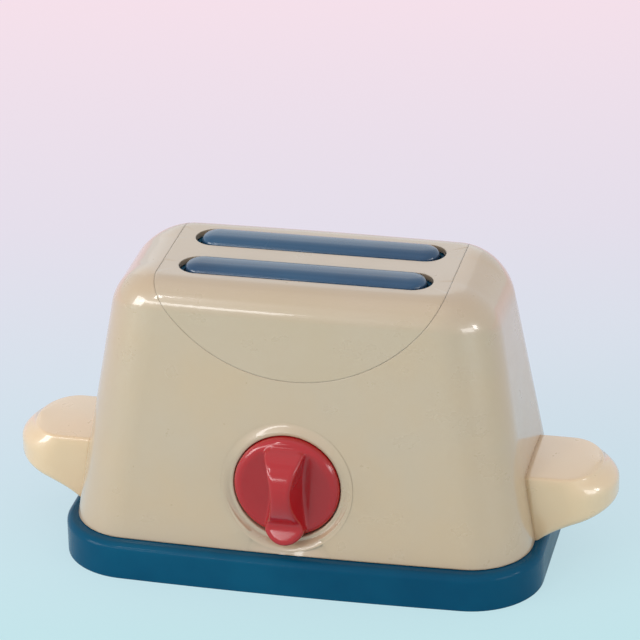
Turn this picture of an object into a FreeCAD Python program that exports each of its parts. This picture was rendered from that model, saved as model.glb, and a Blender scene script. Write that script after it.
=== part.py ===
import FreeCAD, Part
import math
import os

# A toy pop-up toaster. Millimetres, X to the right seen from the front, Y to the back,
# Z up, origin on the surface it stands on, under the middle of the body.

# ---- driving dimensions -------------------------------------------------------------

# moulded shells
WALL = 2.2                  # wall of the housing and of the slot panel
TRAY_WALL = 2.4             # wall of the base tray
JOINT_GAP = 0.3             # gap between shells that meet
FIT_GAP = 0.15              # gap around a piece that plugs into another
RUN_GAP = 0.08              # radial clearance of what turns or slides on steel

# base tray
TRAY_LENGTH = 180.0
TRAY_DEPTH = 104.0
TRAY_HEIGHT = 14.0
TRAY_CORNER = 27.0          # plan corner radius
TRAY_TOP_ROUND = 2.6        # rounded upper edge
TRAY_RECESS = 2.0           # how far the floor stands above the surface
TRAY_RIM_WIDTH = 9.0        # width of the top ledge, outer edge to inner pocket
TRAY_LIP_HEIGHT = 3.0       # upstand that locates the housing
TRAY_LIP_WALL = 1.6
BOW_RADIUS = 1600.0         # front and back faces bulge on this radius

# housing
LEDGE_X = 4.0               # tray stands out past the housing at each end
LEDGE_Y = 5.0               # and at the front and back
HOUSING_TOP = 112.0         # height of the flat top
SIDE_LEAN = 9.4             # degrees from upright
FRONT_LEAN = 8.5
SHOULDER_RADIUS = 19.5      # from the top down to the ends
TOP_EDGE_RADIUS = 11.5      # from the top down to the front and back
CORNER_RADIUS = 23.0        # upright corners, at the bottom
CORNER_TOP_RADIUS = 21.0    # and at the top

# slot panel, a saddle let into the top of the housing
PANEL_HALF = 53.5           # half its length
PANEL_DROP = 32.0           # how far its tongues hang down the front and back
LIP_WIDTH = 2.5             # housing lip that carries the panel's edge
LIP_THICK = 1.6
SLOT_PITCH = 25.0           # between the two slots
SLOT_END_WALL = 6.5         # panel past the slots' ends
SLOT_WIDTH = 15.0
PANEL_SCREW_STEP = 30.0     # between the panel screws

# slot liner
LINER_LEDGE = 1.8           # liner rim showing inside the slot ends
LINER_SIDE_LEDGE = 0.4      # and along its sides
LINER_WALL = 1.6
LINER_FLANGE = 2.0
LINER_FLANGE_CORNER = 5.0
LINER_ROD_WALL = 0.7        # between a well's wall and a rod seat
LINER_FLANGE_END = 2.5      # flange past the rods' axes
LINER_FLANGE_DEPTH = 44.0

# lift: bars, carriage, rods and springs
LIFT_TRAVEL = 34.0
BAR_END_GAP = 2.2           # bar to liner, at each end
BAR_SIDE_GAP = 0.6
BAR_PROUD = 2.0             # bar top above the panel
BAR_HEIGHT = 12.0
BAR_ROUND = 2.6
BAR_SHELL = 1.8
POST_SIZE = 7.0
POST_INSET = 8.0            # bar end to post axis
BAR_SCREW_BITE = 8.0        # length of a bar screw inside its post
CARRIAGE_THICK = 3.0
CARRIAGE_ARM = 10.0
CARRIAGE_CORNER = 6.0
CARRIAGE_INSET = 1.0        # plate's window inside the wells, and its ends past the bushes
ROD_RADIUS = 2.0
BUSH_RADIUS = 4.4
BUSH_HEIGHT = 10.0
BUSH_BELOW = 3.0            # bush under the carriage plate
ROD_SEAT_TOP = 12.0         # top of the tray's rod boss
ROD_SEAT_RADIUS = 4.5
ROD_SEAT_DEPTH = 5.5
ROD_BEVEL = 0.4
SPRING_WIRE = 1.0
SPRING_TURNS = 6
SPRING_CLEAR = 0.6          # coil to rod
SPRING_PACKED = 10.0        # room left for each spring with the lift down

# knob
KNOB_X = -1.5
KNOB_Z = 40.0
KNOB_RADIUS = 19.7
KNOB_GAP = 0.5              # around the knob in its bore
KNOB_PROUD = 1.3            # rim ahead of the housing's front at the knob's height
KNOB_SEAT_DEPTH = 5.6       # bore's floor behind it
KNOB_EDGE_ROUND = 2.4
KNOB_RIM = 0.7              # flat of the rim, inside the rounded edge
KNOB_HOLLOW = 1.9           # face's middle below the rim
KNOB_SKIRT = 3.0            # wall around the hollow in the knob's back
KNOB_BACK_HOLLOW = 2.6
KNOB_HUB_WALL = 2.6
DISH_RADIUS = 23.4          # mouth of the cone cut into the leaning wall
DISH_INNER = 21.0
DISH_DEPTH = 2.2
DISH_RISE = 0.8             # mouth's middle above the knob's axis
COLLAR_WALL = 1.1           # ring around the bore
COLLAR_SINK = 0.9           # its front behind the housing's front at the knob's height
GRIP_RISE = 10.1            # crest ahead of the rim
GRIP_HALF = 6.9             # half width of the grip's ends at the crest
GRIP_WAIST = 3.45           # half width of its waist there
GRIP_FOOT_HALF = 7.9        # the same at the foot
GRIP_FOOT_WAIST = 6.15
GRIP_SHOULDER = 15.0        # knob's axis to the ends of the hollow flanks
GRIP_PEAK = 2.5             # crest's highest point above the axis
CROWN_RADIUS = 14.7         # crest above that point
BACK_RADIUS = 21.3          # and below it
POINTER_START = 12.6        # below the axis
POINTER_TILT = 25.0         # degrees, rising to the tip
POINTER_PROUD = 0.7         # tip past the knob's rim
POINTER_GAP = 0.5           # behind the pointer
POINTER_BEND = 3.0          # round where the crest meets the pointer
CREST_ROUND = 1.2
TIP_ROUND = 1.6
SHAFT_RADIUS = 3.0
SHAFT_FLAT = 2.1            # axis to the flat
SHAFT_IN_KNOB = 7.0
SHAFT_GROOVE = 0.6          # depth of the clip's groove
JOURNAL_LEAD = 1.0          # round end of the shaft ahead of its bearing
KNOB_TURN = 60.0            # degrees to lock the lift down

# lock: cam, latch lever and bracket
CAM_RADIUS = 11.1
CAM_THICK = 3.0
CAM_HUB_RADIUS = 6.0
CAM_GAP = 0.4               # cam to the lever's pad
CAM_SPARE_TURN = 25.0       # degrees of cam past each end of the turn
CAM_STEPS = 18              # points along the cam's curve
CLIP_RADIUS = 5.2
CLIP_THICK = 0.8
CLIP_PLAY = 0.05            # clip in its groove, each side
CLIP_PRONG = 0.9            # groove floor's edge to the clip's mouth
STACK_GAP = 0.3             # along the shaft, between neighbours
LATCH_PIVOT_X = 22.0
LATCH_SWING = 4.7           # degrees for the full knob turn
LATCH_PIN_RADIUS = 1.5
LATCH_PIN_LIP = 1.3         # head past the shank
LATCH_PIN_HEAD = 0.8
LATCH_HUB_RADIUS = 4.5
HOOK_REST_GAP = 0.6         # hook to the catch while the lift is free
HOOK_OVER_CATCH = 0.15      # hook above the lowered catch
HOOK_WIDTH = 5.5
HOOK_HEIGHT = 8.0
HOOK_DEPTH = 5.0
PAD_HALF = 4.4              # half height of the lever's pad
CATCH_LEFT = 26.0
CATCH_RIGHT = 33.5
CATCH_GAP = 0.9             # catch to the lever, front to back
BRACKET_THICK = 2.0
BRACKET_LEFT = -24.0
BRACKET_RIGHT = 12.5
BRACKET_SLOPE = 12.0        # run of the sloping corner at the web's upper left
BRACKET_ARM = 7.0           # height of the arm that carries the lever's pin
BRACKET_FOOT = 16.0
BRACKET_RIB = 7.0           # ribs behind the web
BRACKET_RIB_HEIGHT = 12.0
BRACKET_SCREW_INSET = 7.0   # screws from the foot's ends
BRACKET_SCREW_BACK = 9.6    # and behind its front
BEARING_WALL = 2.4
BEARING_PROUD = 1.5         # shaft bearing ahead of the web
BRACKET_SEAT = 4.0          # height of the tray bosses under the foot
TORSION_WIRE = 0.8
TORSION_TURNS = 3
TORSION_PITCH = 1.2
TORSION_CLEAR = 1.0         # coil to pin
TORSION_GAP = 0.2           # coil to lever
TORSION_SPARE = 0.8         # coil to bracket
TORSION_LONG_LEG = 12.0
TORSION_SHORT_LEG = 3.2

# handles
HANDLE_TOP = 39.0
HANDLE_REACH = 32.0         # beyond the housing at the handle's top
HANDLE_HALF = 16.4
HANDLE_STRAIGHT = 13.5      # before the rounded end
HANDLE_ROOT_HEIGHT = 24.0
HANDLE_TIP_HEIGHT = 14.5
HANDLE_TOP_ROUND = 4.0
HANDLE_LOW_ROUND = 3.0
HANDLE_BURIED = 8.0         # the plain form runs this far into the body before it is fitted
TENON_HALF = 9.0
TENON_HEIGHT = 12.0
TENON_Z = 22.0              # bottom of the tenon
RETAINER_THICK = 2.0
RETAINER_EDGE = 3.0
HANDLE_SCREW_LENGTH = 14.0

# screws
BOSS_X = 72.0
BOSS_Y = 32.0
BOSS_RADIUS = 4.2
PILLAR_RADIUS = 5.0
SCREW_RADIUS = 1.5
SCREW_HEAD_RADIUS = 3.4
SCREW_HEAD = 2.0
SCREW_LENGTH = 18.0
SMALL_SCREW_RADIUS = 1.2
SMALL_HEAD_RADIUS = 2.6
SMALL_HEAD = 1.6
SCREW_CLEARANCE = 0.05
BASE_SCREW_SINK = 2.0       # head seat above the tray screw's head
BORE_SPARE = 0.5            # bore past the end of its screw
SEAT_MARGIN = 1.0           # boss past the head it carries
HEAD_BEVEL = 0.4            # share of the head's height

# ---- sizes worked out from these ----------------------------------------------------

REACH = 60.0                # the largest cutting bodies run this far past the shell
PAST = 1.0                  # and the small ones this far past what they cut
OPEN_BELOW = 5.0            # the cavity's form past the housing's open bottom
NEAR = 0.01                 # heights closer than this are the same
EDGE_SAMPLES = 4            # places tried along an edge
BODY_LENGTH = TRAY_LENGTH / 2 - LEDGE_X
BODY_DEPTH = TRAY_DEPTH / 2 - LEDGE_Y
SIDE_TAN = math.tan(math.radians(SIDE_LEAN))
SIDE_COS = math.cos(math.radians(SIDE_LEAN))
FRONT_TAN = math.tan(math.radians(FRONT_LEAN))
FRONT_COS = math.cos(math.radians(FRONT_LEAN))
SLOT_Y = SLOT_PITCH / 2
SLOT_LENGTH = 2 * (PANEL_HALF - SLOT_END_WALL)
PANEL_UNDER = HOUSING_TOP - WALL
FLANGE_TOP = PANEL_UNDER - LIP_THICK - FIT_GAP
FLANGE_UNDER = FLANGE_TOP - LINER_FLANGE
WELL_HALF = SLOT_LENGTH / 2 - LINER_LEDGE
WELL_WIDTH = SLOT_WIDTH / 2 - LINER_SIDE_LEDGE
BAR_HALF = WELL_HALF - BAR_END_GAP
POST_HALF_SPAN = BAR_HALF - POST_INSET
ROD_X = WELL_HALF + LINER_WALL + LINER_ROD_WALL + ROD_SEAT_RADIUS
LINER_FLANGE_HALF = ROD_X + LINER_FLANGE_END
BAR_WIDTH = WELL_WIDTH - BAR_SIDE_GAP
BAR_TOP = HOUSING_TOP + BAR_PROUD
BUSH_UNDER = ROD_SEAT_TOP + SPRING_PACKED + LIFT_TRAVEL
CARRIAGE_UNDER = BUSH_UNDER + BUSH_BELOW
CARRIAGE_TOP = CARRIAGE_UNDER + CARRIAGE_THICK
TRAY_FLOOR = TRAY_RECESS + TRAY_WALL
KNOB_WALL_Y = (KNOB_Z - TRAY_HEIGHT) * FRONT_TAN - BODY_DEPTH
KNOB_BORE = KNOB_RADIUS + KNOB_GAP
DISH_FLOOR_Y = KNOB_WALL_Y + KNOB_SEAT_DEPTH
KNOB_BACK_Y = DISH_FLOOR_Y - STACK_GAP
KNOB_RIM_Y = KNOB_WALL_Y - KNOB_PROUD
CREST_Y = KNOB_RIM_Y - GRIP_RISE
BOSS_END_Y = DISH_FLOOR_Y + WALL
CLIP_Y = BOSS_END_Y + STACK_GAP
CAM_Y = CLIP_Y + CLIP_THICK + STACK_GAP
LATCH_BACK_Y = CAM_Y + CAM_THICK
CATCH_FRONT_Y = LATCH_BACK_Y + CATCH_GAP
TORSION_Y = LATCH_BACK_Y + TORSION_GAP + TORSION_WIRE / 2
TORSION_END_Y = TORSION_Y + TORSION_PITCH * TORSION_TURNS + TORSION_WIRE / 2
BRACKET_FRONT_Y = TORSION_END_Y + TORSION_SPARE - TORSION_WIRE / 2
BRACKET_BACK_Y = BRACKET_FRONT_Y + BRACKET_THICK
SHAFT_END_Y = BRACKET_BACK_Y + STACK_GAP
CATCH_DOWN_TOP = CARRIAGE_TOP - LIFT_TRAVEL
LATCH_PIVOT_Z = CARRIAGE_TOP
ARM_LOW = LATCH_PIVOT_Z - BRACKET_ARM / 2
ARM_HIGH = ARM_LOW + BRACKET_ARM
LINER_BOTTOM = ARM_HIGH + JOINT_GAP

V = FreeCAD.Vector
X_AXIS = V(1, 0, 0)
Y_AXIS = V(0, 1, 0)
Z_AXIS = V(0, 0, 1)
DOCUMENT = FreeCAD.newDocument("toaster")


# ---- plain helpers ------------------------------------------------------------------

def box(x0, x1, y0, y1, z0, z1):
    return Part.makeBox(x1 - x0, y1 - y0, z1 - z0, V(x0, y0, z0))


def upright(radius, x, y, z0, z1):
    return Part.makeCylinder(radius, z1 - z0, V(x, y, z0), Z_AXIS)


def level(radius, x, z, y0, y1):
    return Part.makeCylinder(radius, y1 - y0, V(x, y0, z), Y_AXIS)


def fuse(first, *others):
    return first.fuse(list(others)).removeSplitter()


def cut(first, *others):
    return first.cut(list(others))


def prism(points, y0, y1):
    """A front-view outline, (x, z) points, run from y0 to y1."""
    corners = [V(x, y0, z) for x, z in points]
    face = Part.Face(Part.makePolygon(corners + corners[:1]))
    return face.extrude(V(0, y1 - y0, 0))


def pill(half_length, half_width, y, z0, z1):
    """A round-ended block along X."""
    straight = half_length - half_width
    parts = [box(-straight, straight, y - half_width, y + half_width, z0, z1)]
    for side in (-1, 1):
        parts.append(upright(half_width, side * straight, y, z0, z1))
    return fuse(*parts)


def screw(x, y, z, direction, shank, radius, head_radius, head):
    """A pan-head screw whose head sits on (x, y, z); the shank runs along direction."""
    base = V(x, y, z)
    outward = V(direction).multiply(-head)
    stem = Part.makeCylinder(radius, shank, base, direction)
    cap = Part.makeCylinder(head_radius, head, base.add(outward), direction)
    cap = cap.makeChamfer(head * HEAD_BEVEL, [cap.Edges[2]])
    return fuse(stem, cap)


def export(name, shape):
    solids = shape.Solids
    body = solids[0] if len(solids) == 1 else Part.makeCompound(solids)
    body.exportStep(os.path.join("parts", name + ".step"))


# ---- the body's form ----------------------------------------------------------------

def rounded_outline(half_x, half_y, radius, z):
    """A rectangle with round corners whose long sides bulge on BOW_RADIUS."""
    reach = math.sqrt((BOW_RADIUS - radius) ** 2 - (half_x - radius) ** 2)
    centre_x = half_x - radius
    centre_y = half_y - BOW_RADIUS + reach
    lean = math.asin(centre_x / (BOW_RADIUS - radius))
    touch_x = BOW_RADIUS * math.sin(lean)
    touch_y = half_y - BOW_RADIUS + BOW_RADIUS * math.cos(lean)
    turn = (math.pi / 2 + lean) / 2
    mid_x = centre_x + radius * math.sin(turn)
    mid_y = centre_y + radius * math.cos(turn)
    edges = []
    for sx, sy in ((-1, -1), (1, 1)):
        long_side = Part.Arc(V(sx * touch_x, sy * touch_y, z), V(0, sy * half_y, z),
                             V(-sx * touch_x, sy * touch_y, z))
        corner = Part.Arc(V(-sx * touch_x, sy * touch_y, z), V(-sx * mid_x, sy * mid_y, z),
                          V(-sx * half_x, sy * centre_y, z))
        end = Part.LineSegment(V(-sx * half_x, sy * centre_y, z),
                               V(-sx * half_x, -sy * centre_y, z))
        next_corner = Part.Arc(V(-sx * half_x, -sy * centre_y, z),
                               V(-sx * mid_x, -sy * mid_y, z),
                               V(-sx * touch_x, -sy * touch_y, z))
        edges += [long_side.toShape(), corner.toShape(), end.toShape(), next_corner.toShape()]
    return Part.Wire(edges)


def plain_half_x(z, inset=0.0):
    """Half length of the leaning body at height z, before its top is rounded."""
    return BODY_LENGTH - (z - TRAY_HEIGHT) * SIDE_TAN - inset / SIDE_COS


def plain_half_y(z, inset=0.0):
    return BODY_DEPTH - (z - TRAY_HEIGHT) * FRONT_TAN - inset / FRONT_COS


def body_section(z, inset):
    rise = (z - TRAY_HEIGHT) / (HOUSING_TOP - TRAY_HEIGHT)
    radius = CORNER_RADIUS + (CORNER_TOP_RADIUS - CORNER_RADIUS) * rise - inset
    return rounded_outline(plain_half_x(z, inset), plain_half_y(z, inset), radius, z)


def top_rounding(edge, number, inset):
    """Edge number and end radii: tight along the front and back, wide at the shoulders."""
    start = edge.valueAt(edge.FirstParameter)
    end = edge.valueAt(edge.LastParameter)
    tight = TOP_EDGE_RADIUS - inset
    wide = SHOULDER_RADIUS - inset
    if abs(start.x - end.x) < NEAR:
        return number, wide, wide
    if abs(start.y - end.y) < NEAR:
        return number, tight, tight
    if abs(start.y) > abs(end.y):
        return number, tight, wide
    return number, wide, tight


def body_form(inset, low):
    """The housing's outer form, or one inset from it, closed at the height low."""
    top = HOUSING_TOP - inset
    plain = Part.makeLoft([body_section(low, inset), body_section(top, inset)], True, True)
    base = DOCUMENT.addObject("Part::Feature", "Plain")
    base.Shape = plain
    rounded = DOCUMENT.addObject("Part::Fillet", "Rounded")
    rounded.Base = base
    rounded.Edges = [top_rounding(edge, i + 1, inset) for i, edge in enumerate(plain.Edges)
                     if edge.BoundBox.ZMin > top - NEAR]
    DOCUMENT.recompute()
    return rounded.Shape.Solids[0]


def saddle(grow):
    """The slot panel's region, run through the body from front to back."""
    plain_radius = (PANEL_HALF ** 2 + PANEL_DROP ** 2) / (2 * PANEL_DROP)
    centre_z = HOUSING_TOP - PANEL_DROP + plain_radius
    radius = plain_radius + grow
    half = PANEL_HALF + grow
    end_z = centre_z - math.sqrt(radius ** 2 - half ** 2)
    left = V(-half, 0, end_z)
    right = V(half, 0, end_z)
    curve = Part.Arc(left, V(0, 0, centre_z - radius), right).toShape()
    up = V(0, 0, REACH)
    rim = Part.makePolygon([right, right.add(up), left.add(up), left])
    face = Part.Face(Part.Wire([curve] + rim.Edges))
    face.translate(V(0, -2 * REACH, 0))
    return face.extrude(V(0, 4 * REACH, 0))


# ---- shells -------------------------------------------------------------------------

def knob_level(radius, y0, y1):
    """A cylinder about the knob's axis."""
    return level(radius, KNOB_X, KNOB_Z, y0, y1)


def knob_dish():
    """The cone cut into the leaning front wall around the knob."""
    lean = math.radians(FRONT_LEAN)
    inward = V(0, math.cos(lean), -math.sin(lean))
    slope = (DISH_RADIUS - DISH_INNER) / DISH_DEPTH
    mouth_z = KNOB_Z + DISH_RISE
    start = V(KNOB_X, -plain_half_y(mouth_z), mouth_z).add(V(inward).multiply(-PAST))
    return Part.makeCone(DISH_RADIUS + slope * PAST, DISH_INNER, DISH_DEPTH + PAST, start, inward)


def knob_bore():
    """What is cut out for the knob and its shaft."""
    well = knob_level(KNOB_BORE, -2 * REACH, DISH_FLOOR_Y)
    shaft_hole = knob_level(SHAFT_RADIUS + RUN_GAP, DISH_FLOOR_Y - PAST, BOSS_END_Y + PAST)
    return [well, shaft_hole]


def tenon_block(grow):
    """The right handle's tenon, run through the wall."""
    half = TENON_HALF + grow
    high = TENON_Z + TENON_HEIGHT
    inner = plain_half_x(high, WALL) - RETAINER_THICK
    outer = plain_half_x(TENON_Z) + WALL
    return box(inner, outer, -half, half, TENON_Z - grow, high + grow)


def on_side(side, shape):
    """A right-hand shape, or its mirror image on the left."""
    return shape if side > 0 else shape.mirror(V(0, 0, 0), X_AXIS)


def housing():
    low = TRAY_HEIGHT + JOINT_GAP
    outer = body_form(0.0, low)
    inner = body_form(WALL, low - OPEN_BELOW)
    under_lip = body_form(WALL + LIP_THICK, low - OPEN_BELOW)
    shell = outer.cut(inner)
    lip = inner.cut(under_lip).common(saddle(LIP_WIDTH)).cut(saddle(-LIP_WIDTH))
    shell = shell.cut(saddle(JOINT_GAP / 2))
    backing = knob_level(KNOB_BORE + WALL, -2 * REACH, BOSS_END_Y).common(outer)
    adds = [lip, backing]
    holes = knob_bore()
    for sx in (-1, 1):
        holes.append(on_side(sx, tenon_block(FIT_GAP)))
        for sy in (-1, 1):
            tower = upright(BOSS_RADIUS, sx * BOSS_X, sy * BOSS_Y, low, HOUSING_TOP)
            adds.append(tower.common(outer))
            holes.append(upright(SCREW_RADIUS + SCREW_CLEARANCE, sx * BOSS_X, sy * BOSS_Y,
                                 low - PAST, low + SCREW_LENGTH))
    body = fuse(shell, *adds).cut(knob_dish())
    collar = knob_level(KNOB_BORE + COLLAR_WALL, KNOB_WALL_Y + COLLAR_SINK, DISH_FLOOR_Y)
    return cut(fuse(body, collar), *holes)


def slot_panel():
    outer = body_form(0.0, TRAY_HEIGHT)
    inner = body_form(WALL, TRAY_HEIGHT - OPEN_BELOW)
    panel = outer.cut(inner).common(saddle(-JOINT_GAP / 2))
    cuts = []
    for sy in (-1, 1):
        cuts.append(pill(SLOT_LENGTH / 2, SLOT_WIDTH / 2, sy * SLOT_Y,
                         PANEL_UNDER - WALL, HOUSING_TOP + WALL))
    bosses = []
    for step in (-1, 0, 1):
        x = step * PANEL_SCREW_STEP
        bosses.append(upright(SMALL_HEAD_RADIUS + FIT_GAP, x, 0, FLANGE_TOP + FIT_GAP / 2,
                              PANEL_UNDER + WALL / 2))
        cuts.append(upright(SMALL_SCREW_RADIUS + SCREW_CLEARANCE, x, 0, FLANGE_TOP,
                            PANEL_UNDER + WALL / 2))
    return cut(fuse(panel, *bosses), *cuts)


def tray_block(inset, z0, z1):
    half_x = TRAY_LENGTH / 2 - inset
    half_y = TRAY_DEPTH / 2 - inset
    outline = rounded_outline(half_x, half_y, TRAY_CORNER - inset, z0)
    return Part.Face(outline).extrude(V(0, 0, z1 - z0))


def base_tray():
    inner = TRAY_RIM_WIDTH - TRAY_WALL
    block = tray_block(0.0, 0.0, TRAY_HEIGHT)
    top_edges = [edge for edge in block.Edges if edge.BoundBox.ZMin > TRAY_HEIGHT - NEAR]
    block = block.makeFillet(TRAY_TOP_ROUND, top_edges)
    pocket = tray_block(TRAY_RIM_WIDTH, TRAY_FLOOR, TRAY_HEIGHT + PAST)
    channel = tray_block(TRAY_WALL, -1, TRAY_HEIGHT - TRAY_WALL)
    channel = channel.cut(tray_block(inner, -2, TRAY_HEIGHT))
    recess = tray_block(inner, -1, TRAY_RECESS)
    tray = cut(block, pocket, channel, recess)
    lip_high = TRAY_HEIGHT + TRAY_LIP_HEIGHT
    lip_inset = LEDGE_X + (WALL + FIT_GAP) / SIDE_COS + TRAY_LIP_HEIGHT * SIDE_TAN
    lip_y_shift = LEDGE_Y - LEDGE_X
    lip_half_x = TRAY_LENGTH / 2 - lip_inset
    lip_half_y = TRAY_DEPTH / 2 - lip_inset - lip_y_shift
    lip_corner = CORNER_RADIUS - lip_inset + LEDGE_X
    lip = None
    for extra in (0.0, TRAY_LIP_WALL):
        ring = rounded_outline(lip_half_x - extra, lip_half_y - extra, lip_corner - extra,
                               TRAY_HEIGHT - TRAY_WALL / 2)
        solid = Part.Face(ring).extrude(V(0, 0, lip_high - TRAY_HEIGHT + TRAY_WALL / 2))
        lip = solid if lip is None else lip.cut(solid)
    adds = [lip]
    holes = []
    floor_mid = TRAY_RECESS + TRAY_WALL / 2
    for sx in (-1, 1):
        adds.append(upright(ROD_SEAT_RADIUS, sx * ROD_X, 0, floor_mid, ROD_SEAT_TOP))
        holes.append(upright(ROD_RADIUS + FIT_GAP / 5, sx * ROD_X, 0,
                             ROD_SEAT_TOP - ROD_SEAT_DEPTH, ROD_SEAT_TOP + PAST))
        for sy in (-1, 1):
            x = sx * BOSS_X
            y = sy * BOSS_Y
            adds.append(upright(PILLAR_RADIUS, x, y, floor_mid, TRAY_HEIGHT))
            holes.append(upright(SCREW_RADIUS + SCREW_CLEARANCE, x, y, 0, TRAY_HEIGHT + PAST))
            holes.append(upright(SCREW_HEAD_RADIUS + FIT_GAP, x, y, 0, base_screw_seat()))
    for x, y in bracket_screw_places():
        seat = TRAY_FLOOR + BRACKET_SEAT
        adds.append(upright(SMALL_HEAD_RADIUS + SEAT_MARGIN, x, y, floor_mid, seat))
        holes.append(upright(SMALL_SCREW_RADIUS + SCREW_CLEARANCE, x, y, TRAY_FLOOR - BORE_SPARE,
                             seat + PAST))
    return cut(fuse(tray, *adds), *holes)


def base_screw_seat():
    return TRAY_RECESS + SCREW_HEAD + BASE_SCREW_SINK


def base_screws():
    parts = []
    shank = SCREW_LENGTH + TRAY_HEIGHT - base_screw_seat() - PAST
    for sx in (-1, 1):
        for sy in (-1, 1):
            parts.append(screw(sx * BOSS_X, sy * BOSS_Y, base_screw_seat(), Z_AXIS,
                               shank, SCREW_RADIUS, SCREW_HEAD_RADIUS, SCREW_HEAD))
    return Part.makeCompound(parts)


def slot_liner():
    flange = box(-LINER_FLANGE_HALF, LINER_FLANGE_HALF, -LINER_FLANGE_DEPTH / 2,
                 LINER_FLANGE_DEPTH / 2, FLANGE_UNDER, FLANGE_TOP)
    flange = flange.makeFillet(LINER_FLANGE_CORNER, [e for e in flange.Edges if is_upright(e)])
    adds = []
    holes = []
    for sy in (-1, 1):
        y = sy * SLOT_Y
        adds.append(pill(WELL_HALF + LINER_WALL, WELL_WIDTH + LINER_WALL, y,
                         LINER_BOTTOM, PANEL_UNDER - FIT_GAP))
        holes.append(pill(WELL_HALF, WELL_WIDTH, y, LINER_BOTTOM - PAST, HOUSING_TOP))
    for sx in (-1, 1):
        adds.append(upright(ROD_SEAT_RADIUS, sx * ROD_X, 0, FLANGE_UNDER - ROD_SEAT_DEPTH,
                            FLANGE_UNDER))
        holes.append(upright(ROD_RADIUS + FIT_GAP / 5, sx * ROD_X, 0,
                             FLANGE_UNDER - ROD_SEAT_DEPTH - PAST, FLANGE_UNDER))
    for step in (-1, 0, 1):
        holes.append(upright(SMALL_SCREW_RADIUS + FIT_GAP, step * PANEL_SCREW_STEP, 0,
                             FLANGE_UNDER - PAST, FLANGE_TOP + PAST))
    return cut(fuse(flange, *adds), *holes)


def is_upright(edge):
    size = edge.BoundBox
    return size.ZLength > NEAR and size.XLength < NEAR and size.YLength < NEAR


def panel_screws():
    parts = []
    for step in (-1, 0, 1):
        shank = PANEL_UNDER + WALL / 2 - FLANGE_UNDER - JOINT_GAP
        parts.append(screw(step * PANEL_SCREW_STEP, 0, FLANGE_UNDER, Z_AXIS, shank,
                           SMALL_SCREW_RADIUS, SMALL_HEAD_RADIUS, SMALL_HEAD))
    return Part.makeCompound(parts)


# ---- the lift -----------------------------------------------------------------------

def lift_bar(side):
    y = side * SLOT_Y
    low = BAR_TOP - BAR_HEIGHT
    cap = pill(BAR_HALF, BAR_WIDTH, y, low, BAR_TOP)
    top_edges = [edge for edge in cap.Edges if edge.BoundBox.ZMin > BAR_TOP - NEAR]
    cap = cap.makeFillet(BAR_ROUND, top_edges)
    hollow = pill(BAR_HALF - BAR_SHELL, BAR_WIDTH - BAR_SHELL, y, low - PAST, BAR_TOP - BAR_SHELL)
    cap = cap.cut(hollow)
    half = POST_SIZE / 2
    posts = []
    holes = []
    for sx in (-1, 1):
        x = sx * POST_HALF_SPAN
        posts.append(box(x - half, x + half, y - half, y + half, CARRIAGE_TOP,
                         BAR_TOP - BAR_SHELL))
        holes.append(upright(SMALL_SCREW_RADIUS + SCREW_CLEARANCE, x, y, CARRIAGE_TOP - PAST,
                             CARRIAGE_TOP + BAR_SCREW_BITE + PAST))
    return cut(fuse(cap, *posts), *holes)


def lift_carriage():
    half_x = ROD_X + BUSH_RADIUS + CARRIAGE_INSET
    half_y = SLOT_Y + CARRIAGE_ARM / 2
    window_x = WELL_HALF - CARRIAGE_INSET
    window_y = SLOT_Y - CARRIAGE_ARM / 2
    plate = box(-half_x, half_x, -half_y, half_y, CARRIAGE_UNDER, CARRIAGE_TOP)
    plate = plate.makeFillet(CARRIAGE_CORNER, [e for e in plate.Edges if is_upright(e)])
    adds = []
    holes = [box(-window_x, window_x, -window_y, window_y, CARRIAGE_UNDER - PAST, CARRIAGE_TOP + PAST)]
    for sx in (-1, 1):
        adds.append(upright(BUSH_RADIUS, sx * ROD_X, 0, BUSH_UNDER, BUSH_UNDER + BUSH_HEIGHT))
        holes.append(upright(ROD_RADIUS + RUN_GAP, sx * ROD_X, 0, BUSH_UNDER - PAST,
                             BUSH_UNDER + BUSH_HEIGHT + PAST))
        for sy in (-1, 1):
            holes.append(upright(SMALL_SCREW_RADIUS + FIT_GAP, sx * POST_HALF_SPAN, sy * SLOT_Y,
                                 CARRIAGE_UNDER - PAST, CARRIAGE_TOP + PAST))
    catch = box(CATCH_LEFT, CATCH_RIGHT, CATCH_FRONT_Y, -half_y + PAST, CARRIAGE_UNDER,
                CARRIAGE_TOP)
    return cut(fuse(plate, catch, *adds), *holes)


def bar_screws():
    parts = []
    for sx in (-1, 1):
        for sy in (-1, 1):
            parts.append(screw(sx * POST_HALF_SPAN, sy * SLOT_Y, CARRIAGE_UNDER, Z_AXIS,
                               CARRIAGE_THICK + BAR_SCREW_BITE, SMALL_SCREW_RADIUS, SMALL_HEAD_RADIUS,
                               SMALL_HEAD))
    return Part.makeCompound(parts)


def guide_rod(side):
    low = ROD_SEAT_TOP - ROD_SEAT_DEPTH + FIT_GAP
    rod = upright(ROD_RADIUS, side * ROD_X, 0, low, FLANGE_UNDER - FIT_GAP)
    return rod.makeChamfer(ROD_BEVEL, [rod.Edges[0], rod.Edges[2]])


def lift_spring(side):
    low = ROD_SEAT_TOP + SPRING_WIRE / 2
    high = BUSH_UNDER - SPRING_WIRE / 2
    coil_radius = ROD_RADIUS + SPRING_CLEAR + SPRING_WIRE / 2
    pitch = (high - low) / SPRING_TURNS
    helix = Part.makeHelix(pitch, high - low, coil_radius)
    ring = Part.Wire(Part.makeCircle(SPRING_WIRE / 2, V(coil_radius, 0, 0), Y_AXIS))
    coil = Part.Wire(helix).makePipeShell([ring], True, True)
    coil.translate(V(side * ROD_X, 0, low))
    return coil


# ---- the knob and the lock ----------------------------------------------------------

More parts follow.
